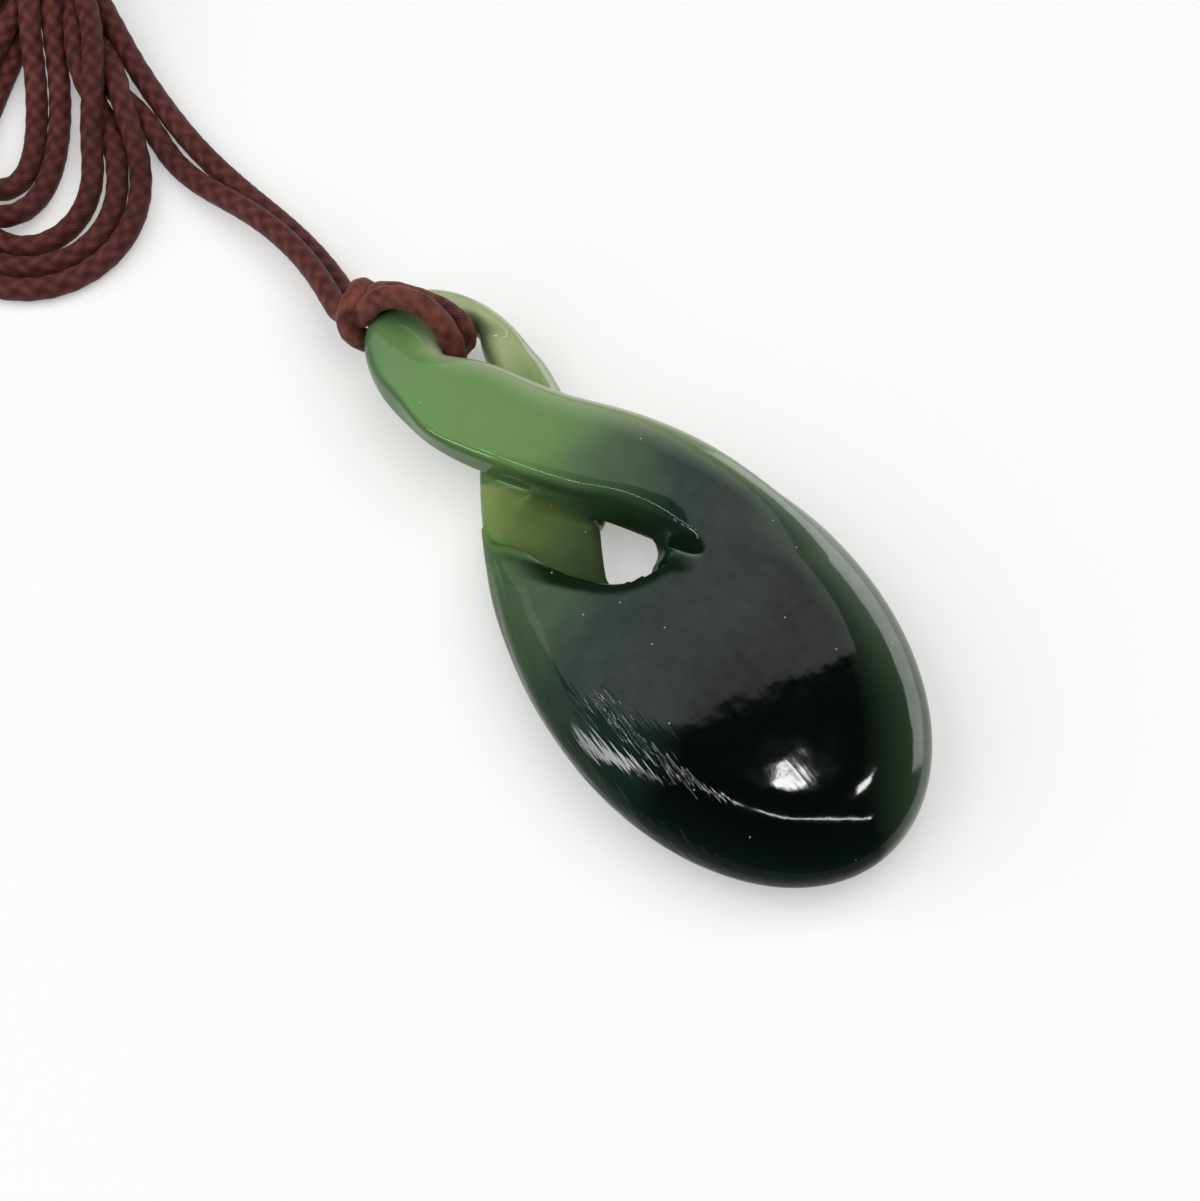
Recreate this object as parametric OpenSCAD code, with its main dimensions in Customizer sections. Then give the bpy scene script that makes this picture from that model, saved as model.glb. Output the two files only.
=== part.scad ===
// Greenstone twist pendant on a braided cord, lying on its back on a flat surface.
// The origin is under the middle of the stone. +Y runs to the cord end, +X to the right, +Z up.

/* [Stone] */
// Length of the stone from the foot of the lobe to the top of the loop
stone_length = 56; // [54:0.5:58]
// Width of the stone across the widest part of the lobe
stone_width = 25; // [23:0.1:27]
// Thickness of the slab that the stone is cut from
stone_thick = 7; // [6.6:0.1:8]
// Fullness of a strand's section: 2 is an ellipse, higher is squarer
strand_fullness = 2.6; // [2:0.1:4]
// Thickness of the loop's rim where the cord is hitched on
rim_thick = 3.4; // [3:0.1:3.6]

/* [Cord] */
// Diameter of the braided cord
cord_dia = 1.8; // [1.6:0.1:1.9]
// Clear space between the cord and the stone that it is tied to
cord_gap = 0.2; // [0.15:0.05:0.3]

/* [Gathered cord] */
// Length of the gathered cord from end to end
hank_length = 66; // [64:1:70]
// Width of its two lobes
hank_width = 19.2; // [18:0.2:20]
// Width of its waist
waist_width = 6.6; // [6:0.2:7]
// Number of cords that lie on each other in it
hank_layers = 3; // [2:1:4]
// Length of the band that ties the waist
tie_length = 4.5; // [3:0.5:6]
// Thickness of that band
tie_thick = 0.8; // [0.6:0.1:1]

/* [Hidden] */

// Sizes that the outline of the stone is drawn at, before it is fitted to the sizes above
drawn_length = 56;
drawn_width = 25;
drawn_thick = 7;
function fit(p) = [p[0] * stone_width / drawn_width, p[1] * stone_length / drawn_length];
function fit_z(z) = z * stone_thick / drawn_thick;

// Lobe: an ellipse below its widest line and a parabola above it
lobe_widest_y = -10;
lobe_half = drawn_width / 2;
lobe_below = 18.3;
lobe_above = 28.9;
lobe_top_y = 11;
lobe_steps = 20;
function lobe_half_at(y) = lobe_half * (y < lobe_widest_y
    ? sqrt(max(0, 1 - pow((y - lobe_widest_y) / lobe_below, 2)))
    : 1 - pow((y - lobe_widest_y) / lobe_above, 2));
// Rows from the edge inwards: inset from the outline, rise above the middle of the slab
lobe_edge = [[0, 0], [0.2, 1.2], [0.8, 2.2], [1.8, 2.9], [3.4, 3.3], [5.6, 3.5]];
slice = 0.01;

// Lip: the curved step that ends the lobe's full thickness below the eye
lip_foot_y = -3;
lip_rise = 7.9;
lip_half = 8.7;
lip_power = 2.3;
lip_reach = 14;
lip_steps = 14;
function lip_y(x) = lip_foot_y + lip_rise * pow(abs(x) / lip_half, lip_power);

// Strand that crosses in front, from the lobe's right shoulder up to the left of the loop.
// Rows: left edge x, left edge y, right edge x, right edge y, underside, top
front_strand = [
    [4.4, -3.5, 11.7, -5.5, 3.4, 6.8],
    [3.2, 0.0, 9.5, 2.2, 3.4, 6.9],
    [1.6, 2.5, 8.0, 5.6, 3.4, 7.0],
    [-0.6, 5.3, 5.8, 9.2, 3.3, 7.0],
    [-3.6, 9.0, 2.9, 12.9, 3.2, 7.0],
    [-5.6, 12.5, 0.9, 16.5, 3.0, 6.8],
    [-7.2, 16.0, -0.1, 19.0, 2.8, 6.4]];
// Strand that crosses behind it, from the right of the loop down to the lobe's left shoulder
back_strand = [
    [-0.2, 19.0, 3.7, 16.6, 0.5, 4.1],
    [-1.9, 16.2, 3.7, 12.6, 0.1, 3.9],
    [-4.5, 13.0, 3.2, 9.0, 0.0, 3.8],
    [-6.8, 9.2, 0.5, 5.2, 0.0, 3.7],
    [-8.6, 5.7, -1.6, 2.5, 0.0, 3.6],
    [-10.0, 2.0, -3.2, 0.0, 0.1, 3.6],
    [-12.0, -5.5, -4.4, -3.5, 0.2, 3.6]];

// Loop: a ring between an outer ellipse and the slanted oval hole for the cord
loop_centre = [-2.2, 20.4];
loop_half = [5.8, 7.3];
hole_centre = [-0.1, 21.0];
hole_half = [2.7, 1.7];
hole_turn = 34;
loop_from = 190;
loop_to = -14;
loop_steps = 10;
rim_middle_z = 3.9;
// How much higher the loop starts on the left and ends on the right than at its top
loop_left_rise = 0.7;
loop_right_drop = 1.5;
function spin(p, a) = [p[0] * cos(a) - p[1] * sin(a), p[0] * sin(a) + p[1] * cos(a)];
function loop_outer(a) = [loop_centre[0] + loop_half[0] * cos(a), loop_centre[1] + loop_half[1] * sin(a)];
function hole_edge(a) = hole_centre
    + spin([hole_half[0] * cos(a - hole_turn), hole_half[1] * sin(a - hole_turn)], hole_turn);
function loop_middle(t) = rim_middle_z + (t < 0.5 ? loop_left_rise * pow(1 - 2 * t, 2)
                                                  : -loop_right_drop * pow(2 * t - 1, 2));
loop_rows = [for (i = [0 : loop_steps])
    let (t = i / loop_steps, a = loop_from + (loop_to - loop_from) * t,
         o = loop_outer(a), h = hole_edge(a), z = loop_middle(t))
    [o[0], o[1], h[0], h[1], z - rim_thick / 2, z + rim_thick / 2]];

// A strand's section is a rounded oval that stands between its two edges
section_points = 20;
function rounded(c) = sign(c) * pow(abs(c), 2 / strand_fullness);
module strand_section(r) {
    a = fit([r[0], r[1]]);
    b = fit([r[2], r[3]]);
    low = fit_z(r[4]);
    high = fit_z(r[5]);
    half = norm(b - a) / 2;
    translate([(a[0] + b[0]) / 2, (a[1] + b[1]) / 2, (low + high) / 2])
        rotate([90, 0, atan2(b[1] - a[1], b[0] - a[0])])
            linear_extrude(slice, center = true)
                polygon([for (i = [0 : section_points - 1]) let (c = 360 * i / section_points)
                    [half * rounded(cos(c)), (high - low) / 2 * rounded(sin(c))]]);
}
module strand(rows) {
    for (i = [0 : len(rows) - 2])
        hull() {
            strand_section(rows[i]);
            strand_section(rows[i + 1]);
        }
}

module lobe_outline() {
    ys = [for (i = [0 : lobe_steps]) lobe_widest_y - lobe_below * cos(90 * i / lobe_steps)];
    up = [for (i = [1 : lobe_steps]) lobe_widest_y + (lobe_top_y - lobe_widest_y) * i / lobe_steps];
    side = [for (y = concat(ys, up)) fit([lobe_half_at(y), y])];
    polygon(concat(side, [for (i = [len(side) - 1 : -1 : 1]) [-side[i][0], side[i][1]]]));
}
module lobe() {
    hull()
        for (r = lobe_edge, way = [-1, 1])
            translate([0, 0, stone_thick / 2 + way * (fit_z(r[1]) - slice)])
                linear_extrude(slice)
                    offset(delta = -r[0])
                        lobe_outline();
}
module above_lip() {
    curve = [for (i = [-lip_steps : lip_steps]) let (x = lip_reach * i / lip_steps) fit([x, lip_y(x)])];
    translate([0, 0, -1])
        linear_extrude(stone_thick + 2)
            polygon(concat(curve, [fit([lip_reach, stone_length]), fit([-lip_reach, stone_length])]));
}

module twist_stone() {
    color("darkgreen") {
        difference() {
            lobe();
            above_lip();
        }
        strand(concat(front_strand, loop_rows));
        strand(concat([loop_rows[loop_steps]], back_strand));
    }
}

// Hitch: the doubled cord goes through the hole and round the rim, along this line over the rim
hitch_turn = 34;
hitch_from = 1.7;
hitch_to = 7.7;
hitch_steps = 20;
hitch_fullness = 2.4;
hitch_half = [(hitch_to - hitch_from) / 2 + cord_gap + cord_dia / 2, rim_thick / 2 + cord_gap + cord_dia / 2];
cord_sides = 12;
// Turn of the hitch's ring where the cord's middle bridges the two ends
bridge_at = 12;
bridge_half = 1.2;
bridge_out = 0.9;
// How far the near wrap rides up on the far one at the top of the rim, and how far it leans over it
wrap_lift = 1.5;
wrap_lean = 0.6;
function hitch_point(a) = [
    (hitch_from + hitch_to) / 2 + hitch_half[0] * sign(cos(a)) * pow(abs(cos(a)), 2 / hitch_fullness),
    rim_middle_z + hitch_half[1] * sign(sin(a)) * pow(abs(sin(a)), 2 / hitch_fullness)];
module on_hitch_line() {
    translate(fit(hole_centre))
        rotate(hitch_turn)
            children();
}
module cord_ball(side, p) {
    translate([side, p[0], p[1]])
        sphere(d = cord_dia, $fn = cord_sides);
}
module wrap_ball(side, a) {
    top = pow(max(0, sin(a)), 2);
    near = side < 0 ? 1 : 0;
    cord_ball(side * cord_dia / 2 + near * wrap_lean * top, hitch_point(a) + near * wrap_lift * [0, top]);
}

module cord_hitch() {
    color([0.31, 0.16, 0.14])
        on_hitch_line() {
            for (i = [0 : hitch_steps - 1], side = [-1, 1]) {
                hull() {
                    wrap_ball(side, 360 * i / hitch_steps);
                    wrap_ball(side, 360 * (i + 1) / hitch_steps);
                }
            }
            bridge = hitch_point(bridge_at) + bridge_out * [cos(bridge_at), sin(bridge_at)];
            hull()
                for (side = [-1, 1])
                    cord_ball(side * bridge_half, bridge);
        }
}

// Routes of the two ends of the cord, from the hitch to the gathered cord: x, y, z of the middle line
lead_left_route = [[-6.1, 29.9, 3.6], [-5.5, 32.6, 2.9], [-5.3, 35.5, 2.4], [-5.6, 38.5, 2.4],
    [-6.4, 41.5, 2.4], [-7.5, 44.5, 2.0], [-8.4, 47.5, 0.9], [-8.7, 50.0, 0.9], [-8.5, 52.2, 0.9]];
lead_right_route = [[-4.7, 29.9, 2.4], [-4.1, 33.0, 1.2], [-4.0, 36.0, 0.9], [-4.4, 39.5, 0.9],
    [-5.3, 43.0, 0.9], [-6.0, 46.5, 0.9], [-6.5, 50.0, 0.9], [-6.6, 53.5, 0.9], [-6.6, 57.0, 1.2],
    [-6.5, 60.5, 1.8], [-6.1, 64.0, 2.4]];
lead_sides = 8;
function unit(v) = v / norm(v);
function course(route, i) = unit(route[min(i + 1, len(route) - 1)] - route[max(i - 1, 0)]);
function ring(route, i) =
    let (along = course(route, i), across = unit(cross(along, [0, 0, 1])), over = cross(across, along))
    [for (k = [0 : lead_sides - 1]) let (a = 360 * k / lead_sides)
        route[i] + cord_dia / 2 * (across * cos(a) + over * sin(a))];
module tube(route) {
    last = len(route) - 1;
    walls = [for (i = [0 : last - 1], k = [0 : lead_sides - 1])
        let (m = (k + 1) % lead_sides, s = i * lead_sides, t = s + lead_sides) [s + k, s + m, t + m, t + k]];
    polyhedron(
        points = [for (i = [0 : last]) each ring(route, i)],
        faces = concat(walls, [[for (k = [lead_sides - 1 : -1 : 0]) k]],
                       [[for (k = [0 : lead_sides - 1]) last * lead_sides + k]]));
}

module cord_lead_left() {
    color([0.33, 0.17, 0.15])
        tube(lead_left_route);
}
module cord_lead_right() {
    color([0.33, 0.17, 0.15])
        tube(lead_right_route);
}

// Gathered cord: two round lobes joined by a waist that a band is tied round
hank_centre = [-5.9, 73.8];
hank_turn = -34;
hank_height = cord_dia * hank_layers;
lobe_r = hank_width / 2;
lobe_y = hank_length / 2 - lobe_r;
waist_half = 5.5;
// Where the straight edge from the waist meets the round of a lobe
to_waist = [waist_width / 2, lobe_y - waist_half];
arc_start = atan2(to_waist[1], to_waist[0]) - acos(lobe_r / norm(to_waist));
lobe_arc_steps = 24;
module hank_outline() {
    near = [for (i = [0 : lobe_arc_steps])
        let (a = arc_start - (180 + 2 * arc_start) * i / lobe_arc_steps)
        [lobe_r * cos(a), -lobe_y + lobe_r * sin(a)]];
    half = concat([[waist_width / 2, -waist_half]], near, [[-waist_width / 2, -waist_half]]);
    polygon(concat(half, [for (p = half) -p]));
}
module on_hank() {
    translate(hank_centre)
        rotate(hank_turn)
            children();
}
module waist_band(half, low, high, length) {
    translate([-half, -length / 2, low])
        cube([2 * half, length, high - low]);
}

module cord_hank() {
    color([0.3, 0.15, 0.13])
        on_hank()
            difference() {
                linear_extrude(hank_height)
                    hank_outline();
                difference() {
                    waist_band(hank_width, -1, hank_height + 1, tie_length + 2 * cord_gap);
                    waist_band(waist_width / 2 - tie_thick, tie_thick, hank_height - tie_thick, hank_length);
                }
            }
}

module hank_tie() {
    color([0.25, 0.12, 0.1])
        on_hank()
            difference() {
                waist_band(waist_width / 2, 0, hank_height, tie_length);
                waist_band(waist_width / 2 - tie_thick + cord_gap, tie_thick - cord_gap,
                           hank_height - tie_thick + cord_gap, hank_length);
            }
}

// Knot that closes the loop of cord, beside the waist on the far side
knot_dia = 4.4;
knot_length = 5;
knot_place = [-7.6, 9.2];
knot_steps = 8;
module closure_knot() {
    color([0.3, 0.15, 0.13])
        on_hank()
            translate([knot_place[0], knot_place[1], knot_dia / 2])
                rotate([90, 0, 0])
                    rotate_extrude($fn = 32)
                        polygon(concat([[0, -knot_length / 2]],
                            [for (i = [0 : knot_steps]) let (a = -60 + 120 * i / knot_steps)
                                [knot_dia / 2 * cos(a), knot_length / 2 * sin(a) / sin(60)]],
                            [[0, knot_length / 2]]));
}

twist_stone();
cord_hitch();
cord_lead_left();
cord_lead_right();
cord_hank();
hank_tie();
closure_knot();
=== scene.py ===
from functools import partialmethod

import bpy
import numpy as np
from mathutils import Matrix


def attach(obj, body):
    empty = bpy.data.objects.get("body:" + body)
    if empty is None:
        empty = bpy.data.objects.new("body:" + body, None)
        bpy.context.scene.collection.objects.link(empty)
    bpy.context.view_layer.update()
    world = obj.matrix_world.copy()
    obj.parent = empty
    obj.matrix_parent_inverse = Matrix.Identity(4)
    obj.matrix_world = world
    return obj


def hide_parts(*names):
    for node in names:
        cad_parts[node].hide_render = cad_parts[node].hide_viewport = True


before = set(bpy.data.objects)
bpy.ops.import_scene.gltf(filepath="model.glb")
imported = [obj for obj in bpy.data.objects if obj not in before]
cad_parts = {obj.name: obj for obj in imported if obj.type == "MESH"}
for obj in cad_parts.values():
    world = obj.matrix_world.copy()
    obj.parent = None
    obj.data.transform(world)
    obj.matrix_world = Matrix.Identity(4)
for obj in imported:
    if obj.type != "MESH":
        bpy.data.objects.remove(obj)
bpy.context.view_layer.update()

# View. The pendant lies on a pale table and is seen from above its foot, with the cord running
# away to the upper left. The table is one off-white card that glows faintly, which keeps the
# shadows pale, and wide soft light falls on it.
MM = 0.001
LOOK_AT = np.array([-2.87, 0.0, 0.0]) * MM
CAMERA_AZIMUTH = np.radians(-34.5)
CAMERA_HEIGHT_ANGLE = np.radians(62.0)
CAMERA_DISTANCE = 200 * MM
CAMERA_LENS = 83.93
CAMERA_SENSOR = 36.0
CAMERA_NEAR = 0.01


def from_target(azimuth, height_angle, distance):
    """The place at that distance from the point looked at: azimuth 0 is towards -Y."""
    flat = np.cos(height_angle)
    way = [np.sin(azimuth) * flat, -np.cos(azimuth) * flat, np.sin(height_angle)]
    return LOOK_AT + distance * np.array(way)


def aim(thing, place):
    """Put a camera or light at a place, turned to look at the pendant, its top edge upwards."""
    back = place - LOOK_AT
    back /= np.linalg.norm(back)
    right = np.cross([0, 0, 1], back)
    right /= np.linalg.norm(right)
    turn = np.eye(4)
    turn[:3, 0], turn[:3, 1], turn[:3, 2], turn[:3, 3] = right, np.cross(back, right), back, place
    thing.matrix_world = turn.T.tolist()


def in_scene(name, data):
    """A new object at the origin that shows this data."""
    made = bpy.data.objects.new(name, data)
    bpy.context.scene.collection.objects.link(made)
    return made


camera = in_scene("camera", bpy.data.cameras.new("camera"))
camera.data.sensor_width = CAMERA_SENSOR
camera.data.lens = CAMERA_LENS
camera.data.clip_start = CAMERA_NEAR
aim(camera, from_target(CAMERA_AZIMUTH, CAMERA_HEIGHT_ANGLE, CAMERA_DISTANCE))
bpy.context.scene.camera = camera
bpy.context.scene.view_settings.view_transform = "Standard"


def panel(name, azimuth, height_angle, distance, size, power, seen):
    """A rectangle of even light that faces the pendant. It lights matt surfaces up (diffuse) or is
    mirrored in shiny ones (glossy), as seen says."""
    light = bpy.data.lights.new(name, "AREA")
    light.shape = "RECTANGLE"
    light.size, light.size_y = size
    light.energy = power
    made = in_scene(name, light)
    made.visible_diffuse = seen == "diffuse"
    made.visible_glossy = seen == "glossy"
    aim(made, from_target(np.radians(azimuth), np.radians(height_angle), distance))


world = bpy.data.worlds.new("room")
world.use_nodes = True
background = world.node_tree.nodes["Background"].inputs
background["Color"].default_value = (1, 1, 1, 1)
background["Strength"].default_value = 0.02
bpy.context.scene.world = world
# Name, azimuth and height angle in degrees, distance and size in metres, watts, what sees it
LAMPS = [
    ("ceiling", 60, 70, 1.2, (1.5, 1.5), 13.5, "diffuse"),
    ("left_fill", -110, 42, 1.2, (1.5, 1.3), 13, "diffuse"),
    ("back_wall", 171, 35, 0.6, (0.82, 0.86), 1.25, "glossy"),
    ("left_wall", -130, 20, 0.7, (0.5, 0.7), 0.40, "glossy"),
    ("right_wall", 95, 14, 1.0, (1.1, 0.50), 3.6, "glossy"),
    ("left_window", -108, 40, 0.5, (0.055, 0.42), 0.50, "glossy"),
    ("strip_lamp", 39, 70, 0.5, (0.008, 0.34), 0.10, "glossy"),
    ("far_strip_lamp", -155, 78, 0.5, (0.008, 0.20), 0.06, "glossy"),
    ("lamp", 119.6, 71.8, 0.5, (0.011, 0.013), 0.010, "glossy"),
    ("second_lamp", 74.5, 64.7, 0.5, (0.030, 0.050), 0.060, "glossy")]
for lamp in LAMPS:
    panel(*lamp)

TABLE_CORNERS = [(-2.0, -2.0, 0), (2.0, -2.0, 0), (2.0, 2.0, 0), (-2.0, 2.0, 0)]


class Shader:
    """A material whose one Principled shader is fed by nodes that are added one at a time."""

    def __init__(self, name):
        self.material = bpy.data.materials.new(name)
        self.material.use_nodes = True
        self.tree = self.material.node_tree
        self.surface = self.tree.nodes["Principled BSDF"]

    def node(self, kind, inputs=None, **settings):
        """Add a node of that kind. An input is a value, or the output that feeds it."""
        made = self.tree.nodes.new("ShaderNode" + kind)
        for name, value in settings.items():
            setattr(made, name, value)
        for name, value in (inputs or {}).items():
            self.feed(made.inputs[name], value)
        return made

    def feed(self, socket, value):
        """Link an output to a socket, or set the socket's own value."""
        if isinstance(value, bpy.types.NodeSocket):
            self.tree.links.new(value, socket)
        else:
            socket.default_value = value

    def finish(self, **inputs):
        """Set or feed the shader's own sockets, given with _ for each space of their names."""
        for name, value in inputs.items():
            self.feed(self.surface.inputs[name.replace("_", " ")], value)
        return self.material

    def math(self, operation, a, b=0.0, clamp=False):
        """One step of arithmetic on two numbers or outputs."""
        made = self.node("Math", {0: a, 1: b}, operation=operation, use_clamp=clamp)
        return made.outputs[0]

    # The sum, difference and product of two numbers or outputs
    plus = partialmethod(math, "ADD")
    minus = partialmethod(math, "SUBTRACT")
    times = partialmethod(math, "MULTIPLY")

    def weighed(self, a, b, weights):
        """The sum of two outputs, each times its weight."""
        return self.plus(self.times(a, weights[0]), self.times(b, weights[1]))

    def ramp(self, value, stops):
        """A colour, or a grey level, read from stops along 0 to 1."""
        made = self.node("ValToRGB", {0: value})
        elements = made.color_ramp.elements
        for element, (place, colour) in zip(elements, (stops[0], stops[-1])):
            element.position, element.color = place, (*colour, 1)
        for place, colour in stops[1:-1]:
            elements.new(place).color = (*colour, 1)
        return made.outputs["Color"]

    def mix(self, share, a, b):
        """Colour b laid over colour a by that share."""
        made = self.node("Mix", {"Factor": share}, data_type="RGBA")
        self.feed(made.inputs[6], a)
        self.feed(made.inputs[7], b)
        return made.outputs[2]

    def noise(self, place, scale, detail, roughness=0.5):
        """Smooth noise at each place, 0 to 1."""
        return self.node("TexNoise", {"Vector": place, "Scale": scale, "Detail": detail,
                                      "Roughness": roughness}).outputs["Fac"]

    def stored(self, name):
        """The mesh's own attribute of that name."""
        return self.node("Attribute", attribute_name=name).outputs["Fac"]

    def relief(self, height, strength, distance, under=None):
        """Bump of that height, laid on the bump under it."""
        below = {} if under is None else {"Normal": under}
        return self.node("Bump", {"Height": height, "Strength": strength, "Distance": distance,
                                  **below}).outputs[0]


table_mesh = bpy.data.meshes.new("table")
table_mesh.from_pydata(TABLE_CORNERS, [], [(0, 1, 2, 3)])
table = in_scene("table", table_mesh)
paper = Shader("pale_card")
table_mesh.materials.append(paper.finish(
    Base_Color=(0.62, 0.62, 0.61, 1), Roughness=0.7, Specular_IOR_Level=0.1,
    Emission_Color=(1, 1, 0.985, 1), Emission_Strength=0.33))

# Tails. Each half of the necklace is one braided, waxed cord, 1.8 mm thick and about 0.4 m long.
# It comes up out of the stone's hole, goes over the rim and away to the gathered cord, where it
# is wound to and fro through the waist, and it ends in the knot that closes the necklace.
CORD = 1.8 * MM
# The hitch and the hank have axes of their own: where they start, and how far they are turned
HITCH = np.array([-0.1, 21.0]) * MM, np.radians(34)
HANK = np.array([-5.9, 73.8]) * MM, np.radians(-34)
RIM_MIDDLE = np.array([4.4, 3.9]) * MM
WRAP_HALF = np.array([3.7, 2.8]) * MM
WRAP_FULLNESS = 2.4
WRAP_FROM, WRAP_TO, WRAP_POINTS = 195, 20, 12
NEAR_WRAP_LEAN = 0.6 * MM
NEAR_WRAP_LIFT = 1.5 * MM
LEAD_LEFT = np.array([
    [-6.1, 29.9, 3.6], [-5.5, 32.6, 2.9], [-5.3, 35.5, 2.4], [-5.6, 38.5, 2.4],
    [-6.4, 41.5, 2.4], [-7.5, 44.5, 2.0], [-8.4, 47.5, 0.9], [-8.7, 50.0, 0.9], [-8.5, 52.2, 0.9]]) * MM
LEAD_RIGHT = np.array([
    [-4.7, 29.9, 2.4], [-4.1, 33.0, 1.2], [-4.0, 36.0, 0.9], [-4.4, 39.5, 0.9],
    [-5.3, 43.0, 0.9], [-6.0, 46.5, 0.9], [-6.5, 50.0, 0.9], [-6.6, 53.5, 0.9], [-6.6, 57.0, 1.2],
    [-6.5, 60.5, 1.8], [-6.1, 64.0, 2.4]]) * MM
# Where each run goes through the waist: across it, and how high
WAIST = {f"{run}_{level}": (across, high)
         for run, across in (("right", 2.2), ("inner", 0.75), ("back", -0.75), ("left", -2.2))
         for level, high in (("low", 1.5), ("mid", 2.9), ("top", 4.3))}
# The loops that each tail makes, in turn: slot it comes from, slot it goes to, lobe (1 far, -1 near),
# widest place on the right (across, along), end of the lobe, widest place on the left, height there
LOOPS_RIGHT = [
    ("right_mid", "left_low", 1, (8.7, 23.0), (0.0, 32.1), (-8.7, 23.0), 0.9),
    ("left_low", "right_low", -1, (9.1, 23.8), (0.6, 33.4), (-8.4, 23.0), 1.2),
    ("right_low", "left_mid", 1, (6.9, 22.8), (0.0, 30.2), (-6.9, 22.8), 0.9),
    ("left_mid", "inner_mid", -1, (7.3, 24.2), (0.6, 31.5), (-6.6, 23.0), 1.0)]
LOOPS_LEFT = [
    ("inner_low", "back_low", 1, (5.0, 21.5), (0.0, 27.8), (-5.0, 21.5), 0.9),
    ("back_low", "right_top", -1, (5.6, 22.5), (0.4, 29.7), (-4.9, 21.0), 1.4),
    ("right_top", "left_top", 1, (7.8, 21.4), (0.4, 29.0), (-7.4, 21.8), 2.65),
    ("left_top", "inner_top", -1, (1.9, 18.5), (-2.4, 28.3), (-7.8, 19.0), 2.65),
    ("inner_top", "back_mid", 1, (4.8, 19.0), (-0.4, 25.4), (-5.4, 19.0), 2.65),
    ("back_mid", "back_top", -1, (0.4, 20.5), (-3.0, 25.4), (-6.3, 20.5), 2.65)]
# The left tail slips under the outermost loops here, pressed down by them: across, along, height
UNDER_LOOPS = np.array([[8.0, -16.6, -1.6], [6.0, -13.2, -1.6], [3.6, -9.0, -0.4], [1.6, -5.5, 0.9]]) * MM
KNOT_CENTRE = np.array([-7.6, 9.2, 2.2]) * MM
KNOT_MOUTH = 2.0 * MM
TIE_HALF = 2.5 * MM
LOOP_POINTS = 40
SPREAD_POWER = 1.35


def turned(points, axes):
    """Points given along the axes of the hitch or the hank, taken to the pendant's own axes."""
    centre, angle = axes
    along = np.array([[np.cos(angle), np.sin(angle)], [-np.sin(angle), np.cos(angle)]])
    return np.column_stack([points[:, :2] @ along + centre, points[:, 2]])


def turned_back(points, axes):
    """The other way round: from the pendant's axes to those of the hitch or the hank."""
    return turned(points - [*axes[0], 0], (0, -axes[1]))


def distances(line):
    """The distance along a line of points to each of them."""
    return np.concatenate([[0], np.cumsum(np.linalg.norm(np.diff(line, axis=0), axis=1))])


def unit(vectors):
    """Each row at length 1."""
    return vectors / np.linalg.norm(vectors, axis=-1, keepdims=True)


def even(line, step):
    """The same line with points about one step apart, found between its own."""
    along = distances(line)
    at = np.linspace(0, along[-1], int(round(along[-1] / step)) + 1)
    return np.column_stack([np.interp(at, along, line[:, k]) for k in range(3)])


def eased(line, share, times):
    """The line with each inner point drawn that share of the way to the middle of its neighbours."""
    for _ in range(times):
        drawn = line.copy()
        drawn[1:-1] += share * ((line[:-2] + line[2:]) / 2 - line[1:-1])
        line = drawn
    return line


def eased_step(value):
    """0 below 0, 1 above 1, and a smooth rise between them."""
    value = np.clip(value, 0, 1)
    return value * value * (3 - 2 * value)


def hank_loop(row):
    """One loop round a lobe. From the waist it spreads by a power of a sine of the way to its widest
    place, while it comes down by the matching cosine, and then it follows two quarter ovals."""
    start, end, way, right, tip, left, low = row
    share = np.linspace(0, 1, LOOP_POINTS)
    spread = np.sin(share * np.pi / 2) ** SPREAD_POWER
    quarter = share[1:] * np.pi / 2

    def flank(slot, widest):
        slot = WAIST[slot]
        return np.column_stack([
            slot[0] + (widest[0] - slot[0]) * spread,
            TIE_HALF / MM + (widest[1] - TIE_HALF / MM) * share,
            low + (slot[1] - low) * np.sqrt(1 - spread ** 2)])

    def round_end(widest):
        return np.column_stack([
            tip[0] + (widest[0] - tip[0]) * np.cos(quarter),
            widest[1] + (tip[1] - widest[1]) * np.sin(quarter),
            np.full(len(quarter), low)])

    first, second = (right, left) if WAIST[start][0] > WAIST[end][0] else (left, right)
    points = np.vstack([flank(start, first), round_end(first), round_end(second)[::-1][1:],
                        flank(end, second)[::-1][1:]])
    points[:, 1] *= way
    return points * MM


def to_knot(slot, centre, radius, side, high):
    """The last stretch of a tail: up into the far lobe, over in a half circle and down to the knot."""
    turn = np.linspace(0, np.pi, LOOP_POINTS)
    low = KNOT_CENTRE[2] / MM
    arc = np.column_stack([centre[0] + radius * np.cos(turn), centre[1] + radius * np.sin(turn),
                           high + (low - high) * (turn / np.pi) ** 2]) * MM
    share = np.linspace(0, 1, LOOP_POINTS)[:-1, None]
    start = np.array([WAIST[slot][0], TIE_HALF / MM, WAIST[slot][1]]) * MM
    rise = np.hstack([eased_step(share), share, eased_step(share)])
    mouth = KNOT_CENTRE + [side * CORD / 2, KNOT_MOUTH * 2, 0]
    return np.vstack([start + rise * (arc[0] - start), arc, mouth, mouth - [0, KNOT_MOUTH, 0]])


STEP = CORD / 2
SETTLING = 300
LOOK_AGAIN = 10
OWN_NEIGHBOURS = 4
NEAR = 2.2 * CORD
LEAST = STEP / 100
PUSH = 1.6
EVENING = 0.35
HELD_HALF = TIE_HALF * 0.9
WAIST_HALF = 2.2 * MM
WAIST_TOP = 4.3 * MM
WAIST_LENGTH = 4 * MM
WAIST_LIFT = 0.6 * MM
LIFT_LENGTH = 2 * MM
WIDENING = 0.7
HEIGHTENING = 0.4
TABLE_DROP = 3 * MM
TABLE_SPEED = 5
SINKING = CORD / 150


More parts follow.
